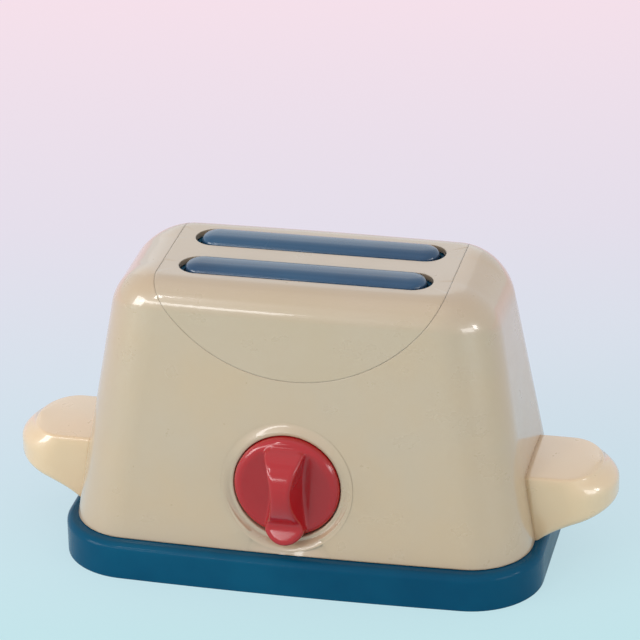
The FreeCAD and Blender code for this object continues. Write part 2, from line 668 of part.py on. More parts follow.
def knob_disc():
    """The knob's turned form about the Y axis, with a hollow face."""
    edge = KNOB_RADIUS - KNOB_EDGE_ROUND
    inner = edge - KNOB_RIM
    middle_y = KNOB_RIM_Y + KNOB_HOLLOW
    side_y = KNOB_RIM_Y + KNOB_EDGE_ROUND
    dip = KNOB_EDGE_ROUND * (1 - math.sqrt(0.5))
    hollow = Part.Arc(V(0, middle_y, 0), V(inner / 2, middle_y - KNOB_HOLLOW / 4, 0),
                      V(inner, KNOB_RIM_Y, 0))
    rim = Part.LineSegment(V(inner, KNOB_RIM_Y, 0), V(edge, KNOB_RIM_Y, 0))
    rounding = Part.Arc(V(edge, KNOB_RIM_Y, 0), V(KNOB_RADIUS - dip, KNOB_RIM_Y + dip, 0),
                        V(KNOB_RADIUS, side_y, 0))
    rest = Part.makePolygon([V(KNOB_RADIUS, side_y, 0), V(KNOB_RADIUS, KNOB_BACK_Y, 0),
                             V(0, KNOB_BACK_Y, 0), V(0, middle_y, 0)])
    edges = [hollow.toShape(), rim.toShape(), rounding.toShape()] + rest.Edges
    return Part.Face(Part.Wire(edges)).revolve(V(0, 0, 0), Y_AXIS, 360)


def grip_outline(y, foot):
    """The grip's front view at y, about the Y axis: hollow flanks, a round crown and tip."""
    draft = (y - CREST_Y) / (foot - CREST_Y)
    half = GRIP_HALF + (GRIP_FOOT_HALF - GRIP_HALF) * draft
    waist = GRIP_WAIST + (GRIP_FOOT_WAIST - GRIP_WAIST) * draft
    top = KNOB_RADIUS - KNOB_EDGE_ROUND
    tip = KNOB_RADIUS + POINTER_PROUD
    flank_r = Part.Arc(V(half, y, -GRIP_SHOULDER), V(waist, y, 0), V(half, y, GRIP_SHOULDER))
    crown = Part.Arc(V(half, y, GRIP_SHOULDER), V(0, y, top), V(-half, y, GRIP_SHOULDER))
    flank_l = Part.Arc(V(-half, y, GRIP_SHOULDER), V(-waist, y, 0), V(-half, y, -GRIP_SHOULDER))
    nose = Part.Arc(V(-half, y, -GRIP_SHOULDER), V(0, y, -tip), V(half, y, -GRIP_SHOULDER))
    return Part.Wire([arc.toShape() for arc in (flank_r, crown, flank_l, nose)])


def crest_point(radius, offset):
    """A point of the crest, this far above its highest point."""
    sink = radius - math.sqrt(radius ** 2 - offset ** 2)
    return V(-REACH, CREST_Y + sink, GRIP_PEAK + offset)


def grip_side_form(foot):
    """The grip's side view run across the knob: a high crest, and the pointer below it."""
    start_sink = KNOB_RIM_Y + PAST - CREST_Y
    start_offset = math.sqrt(CROWN_RADIUS ** 2 - (CROWN_RADIUS - start_sink) ** 2)
    start = crest_point(CROWN_RADIUS, start_offset)
    bend = crest_point(BACK_RADIUS, -POINTER_START - GRIP_PEAK)
    crown = Part.Arc(start, crest_point(CROWN_RADIUS, start_offset / 2),
                     crest_point(CROWN_RADIUS, 0))
    back = Part.Arc(crest_point(BACK_RADIUS, 0),
                    crest_point(BACK_RADIUS, -(POINTER_START + GRIP_PEAK) / 2), bend)
    far = -2 * KNOB_RADIUS
    rise = (bend.z - far) * math.tan(math.radians(POINTER_TILT))
    rest = Part.makePolygon([bend, V(-REACH, bend.y - rise, far), V(-REACH, foot, far),
                             V(-REACH, foot, start.z), start])
    face = Part.Face(Part.Wire([crown.toShape(), back.toShape()] + rest.Edges))
    form = face.extrude(V(2 * REACH, 0, 0))
    bends = [e for e in form.Edges if e.BoundBox.XLength > REACH
             and abs(e.BoundBox.ZMin - bend.z) < NEAR and abs(e.BoundBox.ZMax - bend.z) < NEAR
             and abs(e.BoundBox.YMin - bend.y) < NEAR]
    return form.makeFillet(POINTER_BEND, bends)


def knob_grip():
    """The grip and pointer, about the Y axis, their edges rounded."""
    foot = KNOB_RIM_Y + KNOB_HOLLOW + PAST
    outlines = [grip_outline(foot, foot), grip_outline(CREST_Y - PAST, foot)]
    blank = Part.makeLoft(outlines, True, True).common(grip_side_form(foot)).Solids[0]
    tips = [e for e in blank.Edges if e.BoundBox.ZMin < -KNOB_RADIUS
            and e.BoundBox.YMax < KNOB_RIM_Y]
    tipped = blank.makeFillet(TIP_ROUND, tips)
    crests = [e for e in tipped.Edges if e.BoundBox.YMin < CREST_Y + NEAR
              and e.BoundBox.ZLength > PAST]
    grip = tipped.makeFillet(CREST_ROUND, crests)
    tip_z = KNOB_Z - KNOB_RADIUS - POINTER_PROUD
    pointer_back = -plain_half_y(tip_z) - POINTER_GAP
    keep = fuse(level(KNOB_RADIUS - FIT_GAP, 0, 0, CREST_Y - PAST, foot + PAST),
                level(2 * KNOB_RADIUS, 0, 0, CREST_Y - PAST, pointer_back))
    return grip.common(keep)


def knob():
    body = knob_disc().fuse(knob_grip())
    body.translate(V(KNOB_X, 0, KNOB_Z))
    hollow = knob_level(KNOB_RADIUS - KNOB_SKIRT, KNOB_BACK_Y - KNOB_BACK_HOLLOW,
                        KNOB_BACK_Y + PAST)
    hollow = hollow.cut(knob_level(SHAFT_RADIUS + KNOB_HUB_WALL,
                                   KNOB_BACK_Y - KNOB_BACK_HOLLOW - PAST, KNOB_BACK_Y + 2 * PAST))
    return cut(body, hollow, shaft_core(FIT_GAP / 5, shaft_front_y(), KNOB_BACK_Y + PAST))


def shaft_front_y():
    return DISH_FLOOR_Y - SHAFT_IN_KNOB


def shaft_core(grow, y0, y1):
    """A stretch of the shaft's flatted section."""
    radius = SHAFT_RADIUS + grow
    flat = SHAFT_FLAT + grow
    core = knob_level(radius, y0 - grow, y1)
    return core.cut(box(KNOB_X - radius - PAST, KNOB_X + radius + PAST, y0 - 2 * PAST, y1 + PAST,
                        KNOB_Z + flat, KNOB_Z + radius + PAST))


def knob_shaft():
    flatted = shaft_core(0.0, shaft_front_y(), KNOB_BACK_Y)
    flatted_back = shaft_core(0.0, CAM_Y, SHAFT_END_Y)
    plain = knob_level(SHAFT_RADIUS, KNOB_BACK_Y, CAM_Y)
    groove = knob_level(SHAFT_RADIUS + PAST, CLIP_Y, CLIP_Y + CLIP_THICK)
    groove = groove.cut(knob_level(SHAFT_RADIUS - SHAFT_GROOVE, CLIP_Y - PAST,
                                   CLIP_Y + CLIP_THICK + PAST))
    journal = knob_level(SHAFT_RADIUS, BRACKET_FRONT_Y - JOURNAL_LEAD, SHAFT_END_Y)
    return cut(fuse(flatted, plain, flatted_back, journal), groove)


def knob_clip():
    """A spring clip in the shaft's groove, open at the bottom."""
    disc = knob_level(CLIP_RADIUS, CLIP_Y + CLIP_PLAY, CLIP_Y + CLIP_THICK - CLIP_PLAY)
    seat = knob_level(SHAFT_RADIUS - SHAFT_GROOVE, CLIP_Y - PAST, CLIP_Y + CLIP_THICK + PAST)
    half = SHAFT_RADIUS - CLIP_PRONG
    mouth = box(KNOB_X - half, KNOB_X + half, CLIP_Y - PAST, CLIP_Y + CLIP_THICK + PAST,
                KNOB_Z - CLIP_RADIUS - PAST, KNOB_Z)
    return cut(disc, seat, mouth)


def cam_rise():
    return (LATCH_PIVOT_Z - KNOB_Z) * math.tan(math.radians(LATCH_SWING))


def lock_cam():
    """A spiral cam that pushes the latch lever evenly as the knob turns."""
    start = math.radians(-CAM_SPARE_TURN)
    end = math.radians(KNOB_TURN + CAM_SPARE_TURN)
    points = []
    for i in range(CAM_STEPS + 1):
        angle = start + (end - start) * i / CAM_STEPS
        radius = CAM_RADIUS + cam_rise() * math.degrees(angle) / KNOB_TURN
        points.append(V(radius * math.cos(angle), CAM_Y, radius * math.sin(angle)))
    spiral = Part.BSplineCurve()
    spiral.interpolate(points)
    closing = Part.makePolygon([points[-1], V(0, CAM_Y, 0), points[0]])
    lobe = Part.Face(Part.Wire([spiral.toShape()] + closing.Edges)).extrude(V(0, CAM_THICK, 0))
    lobe.translate(V(KNOB_X, 0, KNOB_Z))
    hub_end = BRACKET_FRONT_Y - BEARING_PROUD - STACK_GAP
    hub = knob_level(CAM_HUB_RADIUS, CAM_Y, hub_end)
    bore = shaft_core(FIT_GAP / 5, CAM_Y - PAST, hub_end + PAST)
    return cut(fuse(lobe, hub), bore)


def latch_lever():
    """It hangs from its pivot; the cam on its left swings its hook over the lowered catch."""
    pad_x = KNOB_X + CAM_RADIUS + CAM_GAP
    hub_left = LATCH_PIVOT_X - LATCH_HUB_RADIUS
    right = CATCH_LEFT - HOOK_REST_GAP
    left = right - HOOK_WIDTH
    low = CATCH_DOWN_TOP + HOOK_OVER_CATCH
    outline = [(hub_left, LATCH_PIVOT_Z), (LATCH_PIVOT_X + LATCH_HUB_RADIUS, LATCH_PIVOT_Z),
               (right, KNOB_Z), (right, low), (left, low), (left, KNOB_Z - PAD_HALF * 2),
               (pad_x, KNOB_Z - PAD_HALF), (pad_x, KNOB_Z + PAD_HALF),
               (hub_left, KNOB_Z + PAD_HALF * 3)]
    plate = prism(outline, CAM_Y, LATCH_BACK_Y)
    hub = level(LATCH_HUB_RADIUS, LATCH_PIVOT_X, LATCH_PIVOT_Z, CAM_Y, LATCH_BACK_Y)
    hook = prism([(left, low), (right, low), (right, low + HOOK_HEIGHT / 2),
                  (left, low + HOOK_HEIGHT)], LATCH_BACK_Y - PAST, LATCH_BACK_Y + HOOK_DEPTH)
    bore = level(LATCH_PIN_RADIUS + RUN_GAP, LATCH_PIVOT_X, LATCH_PIVOT_Z, CAM_Y - PAST,
                 LATCH_BACK_Y + PAST)
    return cut(fuse(plate, hub, hook), bore)


def latch_pivot_pin():
    seat = CAM_Y - STACK_GAP
    shank = level(LATCH_PIN_RADIUS, LATCH_PIVOT_X, LATCH_PIVOT_Z, seat, BRACKET_BACK_Y)
    head = level(LATCH_PIN_RADIUS + LATCH_PIN_LIP, LATCH_PIVOT_X, LATCH_PIVOT_Z,
                 seat - LATCH_PIN_HEAD, seat)
    return fuse(shank, head)


def latch_spring():
    """A torsion spring around the pivot pin; its lower leg draws the lever to the cam."""
    wire = TORSION_WIRE / 2
    coil_radius = LATCH_PIN_RADIUS + TORSION_CLEAR + wire
    length = TORSION_PITCH * TORSION_TURNS
    helix = Part.makeHelix(TORSION_PITCH, length, coil_radius)
    ring = Part.Wire(Part.makeCircle(wire, V(coil_radius, 0, 0), Y_AXIS))
    coil = Part.Wire(helix).makePipeShell([ring], True, True)
    coil.rotate(V(0, 0, 0), X_AXIS, -90)
    coil.rotate(V(0, 0, 0), Y_AXIS, 180)
    coil.translate(V(LATCH_PIVOT_X, TORSION_Y, LATCH_PIVOT_Z))
    leg_x = LATCH_PIVOT_X - coil_radius
    down_leg = Part.makeCylinder(wire, TORSION_LONG_LEG, V(leg_x, TORSION_Y, LATCH_PIVOT_Z),
                                 V(0, 0, -1))
    up_leg = Part.makeCylinder(wire, TORSION_SHORT_LEG,
                               V(leg_x, TORSION_Y + length, LATCH_PIVOT_Z), Z_AXIS)
    return fuse(coil, down_leg, up_leg)


def bracket_screw_places():
    y = BRACKET_FRONT_Y + BRACKET_SCREW_BACK
    return ((BRACKET_LEFT + BRACKET_SCREW_INSET, y), (BRACKET_RIGHT - BRACKET_SCREW_INSET, y))


def latch_bracket():
    low = TRAY_FLOOR + BRACKET_SEAT
    arm_right = LATCH_PIVOT_X + BRACKET_ARM / 2
    outline = [(BRACKET_LEFT, low), (BRACKET_RIGHT, low), (BRACKET_RIGHT, ARM_LOW),
               (arm_right, ARM_LOW), (arm_right, ARM_HIGH),
               (BRACKET_LEFT + BRACKET_SLOPE, ARM_HIGH), (BRACKET_LEFT, KNOB_Z)]
    web = prism(outline, BRACKET_FRONT_Y, BRACKET_BACK_Y)
    foot = box(BRACKET_LEFT, BRACKET_RIGHT, BRACKET_FRONT_Y, BRACKET_FRONT_Y + BRACKET_FOOT,
               low, low + BRACKET_THICK)
    ribs = []
    for x in (BRACKET_LEFT, BRACKET_RIGHT - BRACKET_THICK):
        corner = V(x, BRACKET_BACK_Y - PAST, low)
        rib_face = Part.Face(Part.makePolygon([corner, V(x, BRACKET_BACK_Y + BRACKET_RIB, low),
                                               corner.add(V(0, 0, BRACKET_RIB_HEIGHT)), corner]))
        ribs.append(rib_face.extrude(V(BRACKET_THICK, 0, 0)))
    bearing_front = BRACKET_FRONT_Y - BEARING_PROUD
    bearing = knob_level(SHAFT_RADIUS + BEARING_WALL, bearing_front, BRACKET_BACK_Y)
    holes = [knob_level(SHAFT_RADIUS + RUN_GAP, bearing_front - PAST, BRACKET_BACK_Y + PAST),
             level(LATCH_PIN_RADIUS + FIT_GAP / 5, LATCH_PIVOT_X, LATCH_PIVOT_Z,
                   BRACKET_FRONT_Y - PAST, BRACKET_BACK_Y + PAST)]
    for x, y in bracket_screw_places():
        holes.append(upright(SMALL_SCREW_RADIUS + FIT_GAP, x, y, low - PAST,
                             low + BRACKET_THICK + PAST))
    return cut(fuse(web, foot, bearing, *ribs), *holes)


def bracket_screws():
    parts = []
    top = TRAY_FLOOR + BRACKET_SEAT + BRACKET_THICK
    for x, y in bracket_screw_places():
        parts.append(screw(x, y, top, V(0, 0, -1), BRACKET_THICK + BRACKET_SEAT,
                           SMALL_SCREW_RADIUS, SMALL_HEAD_RADIUS, SMALL_HEAD))
    return Part.makeCompound(parts)


# ---- handles ------------------------------------------------------------------------

def right_handle_form():
    """The tongue itself, before it is fitted to the housing."""
    root_x = plain_half_x(HANDLE_TOP)
    tip_x = root_x + HANDLE_REACH
    bend_x = root_x + HANDLE_STRAIGHT
    inner_x = root_x - HANDLE_BURIED
    root_low = HANDLE_TOP - HANDLE_ROOT_HEIGHT
    tip_low = HANDLE_TOP - HANDLE_TIP_HEIGHT
    slope = (tip_low - root_low) / HANDLE_REACH
    floor = root_low - HANDLE_BURIED
    ellipse = Part.Ellipse(V(tip_x, 0, floor), V(bend_x, HANDLE_HALF, floor), V(bend_x, 0, floor))
    curve = Part.ArcOfEllipse(ellipse, -math.pi / 2, math.pi / 2).toShape()
    first = curve.valueAt(curve.FirstParameter)
    last = curve.valueAt(curve.LastParameter)
    sides = Part.makePolygon([last, V(inner_x, last.y, floor), V(inner_x, first.y, floor), first])
    face = Part.Face(Part.Wire([curve] + sides.Edges))
    tongue = face.extrude(V(0, 0, HANDLE_TOP - floor))
    start = (inner_x - PAST, root_low + slope * (inner_x - PAST - root_x))
    end = (tip_x + PAST, root_low + slope * (tip_x + PAST - root_x))
    below = prism([start, end, (end[0], floor - PAST), (start[0], floor - PAST)], -REACH, REACH)
    tongue = tongue.cut(below)
    top_edges = [e for e in tongue.Edges if e.BoundBox.ZMin > HANDLE_TOP - NEAR
                 and e.BoundBox.XMax > inner_x + NEAR]
    tongue = tongue.makeFillet(HANDLE_TOP_ROUND, top_edges)
    low_edges = [e for e in tongue.Edges if lies_under(e, inner_x, root_low, slope, root_x)]
    return tongue.makeFillet(HANDLE_LOW_ROUND, low_edges)


def lies_under(edge, inner_x, low, slope, root_x):
    """True for an edge all along the handle's sloping underside, but not at its root."""
    if edge.BoundBox.XMax < inner_x + NEAR:
        return False
    for i in range(EDGE_SAMPLES + 1):
        share = edge.FirstParameter + (edge.LastParameter - edge.FirstParameter) * i / EDGE_SAMPLES
        point = edge.valueAt(share)
        if abs(point.z - (low + slope * (point.x - root_x))) > 2 * NEAR:
            return False
    return True


def handle(side):
    low = TRAY_HEIGHT - HANDLE_BURIED
    fitted = right_handle_form().cut(body_form(-FIT_GAP / 2, low))
    tenon = tenon_block(0.0).cut(body_form(WALL, low))
    pilots = screw_bores(SMALL_SCREW_RADIUS + SCREW_CLEARANCE, HANDLE_SCREW_LENGTH + BORE_SPARE)
    return on_side(side, cut(fuse(fitted, tenon), *pilots))


def retainer_inner_x():
    return plain_half_x(TENON_Z + TENON_HEIGHT + RETAINER_EDGE, WALL) - RETAINER_THICK


def handle_screw_places():
    z = TENON_Z + TENON_HEIGHT / 2
    return ((TENON_HALF / 2, z), (-TENON_HALF / 2, z))


def screw_bores(radius, length):
    return [Part.makeCylinder(radius, length, V(retainer_inner_x(), y, z), X_AXIS)
            for y, z in handle_screw_places()]


def handle_retainer(side):
    """A plate inside the wall that the handle's screws draw the tenon against."""
    half = TENON_HALF + RETAINER_EDGE
    region = box(retainer_inner_x(), BODY_LENGTH, -half, half, TENON_Z - RETAINER_EDGE,
                 TENON_Z + TENON_HEIGHT + RETAINER_EDGE)
    plate = body_form(WALL, TRAY_HEIGHT).common(region)
    bores = screw_bores(SMALL_SCREW_RADIUS + FIT_GAP, HANDLE_SCREW_LENGTH)
    return on_side(side, cut(plate, *bores))


def handle_screws():
    parts = []
    for y, z in handle_screw_places():
        one = screw(retainer_inner_x(), y, z, X_AXIS, HANDLE_SCREW_LENGTH, SMALL_SCREW_RADIUS,
                    SMALL_HEAD_RADIUS, SMALL_HEAD)
        parts.append(one)
        parts.append(on_side(-1, one))
    return Part.makeCompound(parts)


# ---- the whole toaster --------------------------------------------------------------

os.makedirs("parts", exist_ok=True)
export("housing", housing())
export("slot_panel", slot_panel())
export("base_tray", base_tray())
export("base_screws", base_screws())
export("slot_liner", slot_liner())
export("panel_screws", panel_screws())
export("front_lift_bar", lift_bar(-1))
export("rear_lift_bar", lift_bar(1))
export("lift_carriage", lift_carriage())
export("bar_screws", bar_screws())
export("left_guide_rod", guide_rod(-1))
export("right_guide_rod", guide_rod(1))
export("left_lift_spring", lift_spring(-1))
export("right_lift_spring", lift_spring(1))
export("knob", knob())
export("knob_shaft", knob_shaft())
export("knob_clip", knob_clip())
export("lock_cam", lock_cam())
export("latch_lever", latch_lever())
export("latch_pivot_pin", latch_pivot_pin())
export("latch_spring", latch_spring())
export("latch_bracket", latch_bracket())
export("bracket_screws", bracket_screws())
export("left_handle", handle(-1))
export("right_handle", handle(1))
export("left_handle_retainer", handle_retainer(-1))
export("right_handle_retainer", handle_retainer(1))
export("handle_screws", handle_screws())
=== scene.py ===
"""The toy toaster's looks: finishes, closer-fitting moulded pieces, a pale floor, soft light and a camera.

All lengths are metres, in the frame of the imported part: +X to the right of the front, -Y towards the
viewer, +Z up, with the origin under the middle of the base.
"""
import math

import bmesh
import bpy
from mathutils import Matrix, Vector


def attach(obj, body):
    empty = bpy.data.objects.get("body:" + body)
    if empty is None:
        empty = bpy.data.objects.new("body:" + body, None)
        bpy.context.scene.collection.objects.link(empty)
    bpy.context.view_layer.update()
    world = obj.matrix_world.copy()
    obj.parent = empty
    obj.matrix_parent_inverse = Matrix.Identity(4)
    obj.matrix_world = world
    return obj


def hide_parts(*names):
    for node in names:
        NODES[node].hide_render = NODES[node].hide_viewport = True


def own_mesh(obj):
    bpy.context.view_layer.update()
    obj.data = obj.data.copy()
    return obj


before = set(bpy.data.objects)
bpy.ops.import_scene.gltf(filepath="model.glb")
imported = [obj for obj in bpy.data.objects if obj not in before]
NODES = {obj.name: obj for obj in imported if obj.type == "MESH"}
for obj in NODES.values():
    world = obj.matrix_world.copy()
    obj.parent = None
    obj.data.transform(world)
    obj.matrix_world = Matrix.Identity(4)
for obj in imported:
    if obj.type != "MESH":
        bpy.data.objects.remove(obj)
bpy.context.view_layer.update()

MM = 0.001


# ---- colours, as sRGB bytes ---------------------------------------------------------------------------

CREAM_SHELL = (182, 161, 135)
CREAM_SHELL_WARM = (185, 160, 129)
CREAM_PANEL = (181, 159, 130)
# The handles' cream is the shell's plastic made lighter: painted light for the extra light that the handles
# catch.
CREAM_HANDLE_LIT = (214, 188, 152)
CREAM_HANDLE_LIT_WARM = (216, 185, 145)
BLUE_BASE = (8, 77, 105)
BLUE_BASE_DEEP = (4, 66, 94)
BLUE_BAR = (16, 68, 102)
BLUE_BAR_DEEP = (9, 56, 90)
RED_KNOB = (169, 18, 24)
RED_KNOB_DEEP = (158, 13, 19)
CREAM_RUBBED = (226, 216, 190)
BLUE_RUBBED = (64, 120, 150)
RED_RUBBED = (196, 84, 88)
WHITE_INNER = (217, 217, 212)
WHITE_INNER_DULL = (206, 206, 198)
WHITE_RUBBED = (236, 236, 232)
ZINC_GREY = (168, 170, 172)
STEEL_GREY = (158, 160, 163)
FLOOR_NEAR = (194, 229, 234)
FLOOR_LOW = (207, 226, 236)
FLOOR_HIGH = (229, 223, 235)
FLOOR_FAR = (247, 225, 235)
BACKDROP = (228, 240, 248)
WORLD_LIGHT = (244, 242, 244)


def linear(colour):
    """An sRGB colour given in bytes, as the linear RGBA that shader sockets take."""
    def channel(value):
        v = value / 255.0
        return v / 12.92 if v <= 0.04045 else ((v + 0.055) / 1.055) ** 2.4
    return tuple(channel(v) for v in colour) + (1.0,)


# ---- camera -------------------------------------------------------------------------------------------

CAMERA_DISTANCE = 1.2873
CAMERA_AZIMUTH = math.radians(12.96)     # to the right of straight in front
CAMERA_ELEVATION = math.radians(25.45)
CAMERA_ROLL = math.radians(-1.05)
CAMERA_LENS_MM = 197.24
SENSOR_MM = 36.0
CAMERA_TARGET = Vector((2.21 * MM, 0.0, 87.5 * MM))


def direction(azimuth, elevation):
    """Unit vector from the part out to a place at that azimuth, right of straight in front, and elevation."""
    flat = math.cos(elevation)
    return Vector((math.sin(azimuth) * flat, -math.cos(azimuth) * flat, math.sin(elevation)))


def make_camera():
    """The photograph's viewpoint, found by fitting the part's main sizes to it."""
    back = direction(CAMERA_AZIMUTH, CAMERA_ELEVATION)
    level = Vector((math.cos(CAMERA_AZIMUTH), math.sin(CAMERA_AZIMUTH), 0.0))
    above = back.cross(level)
    right = math.cos(CAMERA_ROLL) * level + math.sin(CAMERA_ROLL) * above
    up = back.cross(right)
    data = bpy.data.cameras.new("camera")
    data.lens = CAMERA_LENS_MM
    data.sensor_width = SENSOR_MM
    data.clip_start = 0.01
    data.clip_end = 100.0
    camera = bpy.data.objects.new("camera", data)
    turn = Matrix((right, up, back)).transposed().to_4x4()
    camera.matrix_world = Matrix.Translation(CAMERA_TARGET + back * CAMERA_DISTANCE) @ turn
    bpy.context.scene.collection.objects.link(camera)
    bpy.context.scene.camera = camera


# ---- node building ------------------------------------------------------------------------------------

MIX_COLOUR_A = 6        # places of the Mix node's two colour sockets
MIX_COLOUR_B = 7


def seen_ray(tree, plain, mirrored):
    """A node giving one share for camera rays, another for glossy and transmission rays, else nothing."""
    path = tree.nodes.new("ShaderNodeLightPath")
    shares = (("Is Glossy Ray", mirrored), ("Is Transmission Ray", mirrored), ("Is Camera Ray", plain))
    last = None
    for ray, share in shares:
        node = tree.nodes.new("ShaderNodeMath")
        node.operation = "MULTIPLY"
        tree.links.new(path.outputs[ray], node.inputs[0])
        node.inputs[1].default_value = share
        if last is not None:
            larger = tree.nodes.new("ShaderNodeMath")
            larger.operation = "MAXIMUM"
            tree.links.new(node.outputs[0], larger.inputs[0])
            tree.links.new(last.outputs[0], larger.inputs[1])
            node = larger
        last = node
    return last


class Shader:
    """A small helper that adds nodes to one material and links them by name."""

    def __init__(self, name):
        self.material = bpy.data.materials.new(name)
        self.material.use_nodes = True
        self.tree = self.material.node_tree
        self.tree.nodes.clear()
        self.output = self.add("ShaderNodeOutputMaterial")
        self.surface = self.add("ShaderNodeBsdfPrincipled")
        self.link(self.surface, "BSDF", self.output, "Surface")
        self.place = self.add("ShaderNodeTexCoord")
        self.rounded = None

    def add(self, kind, **values):
        node = self.tree.nodes.new(kind)
        for key, value in values.items():
            setattr(node, key, value)
        return node

    def link(self, a, a_out, b, b_in):
        self.tree.links.new(a.outputs[a_out], b.inputs[b_in])

    def set(self, **values):
        """Sets the surface's own sockets; an underscore in a name stands for a space."""
        for key, value in values.items():
            self.surface.inputs[key.replace("_", " ")].default_value = value

    def noise(self, size, detail=3.0, roughness=0.5, stretch=(1, 1, 1)):
        """Noise whose blobs are about size metres across."""
        mapping = self.add("ShaderNodeMapping")
        mapping.inputs["Scale"].default_value = stretch
        self.link(self.place, "Object", mapping, "Vector")
        node = self.add("ShaderNodeTexNoise")
        node.inputs["Scale"].default_value = 1.0 / size
        node.inputs["Detail"].default_value = detail
        node.inputs["Roughness"].default_value = roughness
        self.link(mapping, "Vector", node, "Vector")
        return node

    def spread(self, source, out, low, high, from_low=0.35, from_high=0.65):
        """Maps a noise's middle range to low..high."""
        node = self.add("ShaderNodeMapRange")
        node.inputs["From Min"].default_value = from_low
        node.inputs["From Max"].default_value = from_high
        node.inputs["To Min"].default_value = low
        node.inputs["To Max"].default_value = high
        self.link(source, out, node, "Value")
        return node

    def blend(self, factor, factor_out, a, b):
        """Mixes colours a and b; each is a colour tuple or a (node, output) pair."""
        node = self.add("ShaderNodeMix", data_type="RGBA")
        for socket, value in ((MIX_COLOUR_A, a), (MIX_COLOUR_B, b)):
            if isinstance(value[0], bpy.types.Node):
                self.link(value[0], value[1], node, socket)
            else:
                node.inputs[socket].default_value = value
        self.link(factor, factor_out, node, 0)
        return node

    def edges(self, radius, gain):
        """A mask, 1 along edges, from how far a rounded normal turns away. Bumps build on that normal."""
        bevel = self.add("ShaderNodeBevel", samples=4)
        bevel.inputs["Radius"].default_value = radius
        self.rounded = bevel
        normal = self.add("ShaderNodeNewGeometry")
        dot = self.add("ShaderNodeVectorMath", operation="DOT_PRODUCT")
        self.link(bevel, "Normal", dot, 0)
        self.link(normal, "Normal", dot, 1)
        return self.spread(dot, "Value", 1.0, 0.0, 1.0 - gain, 0.999)

    def bump(self, layers):
        """Chains bumps: each layer is (noise node, height in metres, strength)."""
        last = self.rounded
        for source, height, strength in layers:
            node = self.add("ShaderNodeBump")
            node.inputs["Distance"].default_value = height
            node.inputs["Strength"].default_value = strength
            self.link(source, "Fac", node, "Height")
            if last is not None:
                self.link(last, "Normal", node, "Normal")
            last = node
        self.link(last, "Normal", self.surface, "Normal")


CLOUD_SIZE = 42 * MM            # uneven pigment
SPECK_SIZE = 0.55 * MM
SPECK_SHARE = 0.03
SCUFF_SIZE = 14 * MM
SCUFF_STRETCH = (1.0, 1.0, 1.5)
PEEL_SIZE = 1.6 * MM            # orange peel
PEEL_HEIGHT = 0.02 * MM
PEEL_STRENGTH = 0.2
WAVE_SIZE = 26 * MM             # slow waves of a moulded wall
WAVE_HEIGHT = 0.5 * MM
EDGE_ROUND = 0.7 * MM           # radius that edges are shaded with
EDGE_GAIN = 0.10
COAT_ROUGHNESS = 0.07
STREAK_SIZE = 0.8 * MM          # drawn metal
STREAK_HEIGHT = 0.02 * MM
PATCH_SIZE = 7 * MM
PATCH_HEIGHT = 0.05 * MM
PATCH_TONE = 0.82


def moulded_plastic(name, main, second, worn, gloss=(0.26, 0.36), coat=1.0, waviness=0.0, shine=0.7, ior=1.5):
    """Injection-moulded plastic: uneven pigment, specks, fine orange peel, faint scuffs and rubbed edges."""
    s = Shader(name)
    cloud = s.noise(CLOUD_SIZE, 3.0, 0.55)
    grain = s.noise(SPECK_SIZE, 2.0, 0.5)
    scuff = s.noise(SCUFF_SIZE, 4.0, 0.55, SCUFF_STRETCH)
    peel = s.noise(PEEL_SIZE, 2.0, 0.5)
    wave = s.noise(WAVE_SIZE, 1.0, 0.3)
    pigment = s.blend(s.spread(cloud, "Fac", 0.0, 1.0), "Result", linear(main), linear(second))
    flecks = s.spread(grain, "Fac", 0.0, SPECK_SHARE, 0.62, 0.80)
    fleck_mix = s.blend(flecks, "Result", (pigment, "Result"), linear(worn))
    rim = s.edges(EDGE_ROUND, EDGE_GAIN)
    rubbed = s.add("ShaderNodeMath", operation="MULTIPLY")
    s.link(rim, "Result", rubbed, 0)
    s.link(s.spread(scuff, "Fac", 0.0, 0.25, 0.45, 0.70), "Result", rubbed, 1)
    colour = s.blend(rubbed, "Value", (fleck_mix, "Result"), linear(worn))
    s.link(colour, "Result", s.surface, "Base Color")
    s.link(s.spread(scuff, "Fac", gloss[0], gloss[1], 0.30, 0.72), "Result", s.surface, "Roughness")
    s.set(IOR=ior, Specular_IOR_Level=shine)
    s.set(Coat_Weight=coat, Coat_Roughness=COAT_ROUGHNESS, Coat_IOR=ior)
    s.bump([(wave, WAVE_HEIGHT, waviness), (peel, PEEL_HEIGHT, PEEL_STRENGTH)])
    return s.material


def plated_metal(name, main, roughness, streak):
    """Bright metal with fine drawn streaks and dull patches."""
    s = Shader(name)
    lines = s.noise(STREAK_SIZE, 3.0, 0.6, streak)
    patch = s.noise(PATCH_SIZE, 4.0, 0.6)
    tone = tuple(int(v * PATCH_TONE) for v in main)
    colour = s.blend(s.spread(patch, "Fac", 0.0, 1.0), "Result", linear(main), linear(tone))
    s.link(colour, "Result", s.surface, "Base Color")
    s.link(s.spread(lines, "Fac", roughness, roughness + 0.18), "Result", s.surface, "Roughness")
    s.set(Metallic=1.0)
    s.bump([(lines, STREAK_HEIGHT, 0.4), (patch, PATCH_HEIGHT, 0.2)])
    return s.material


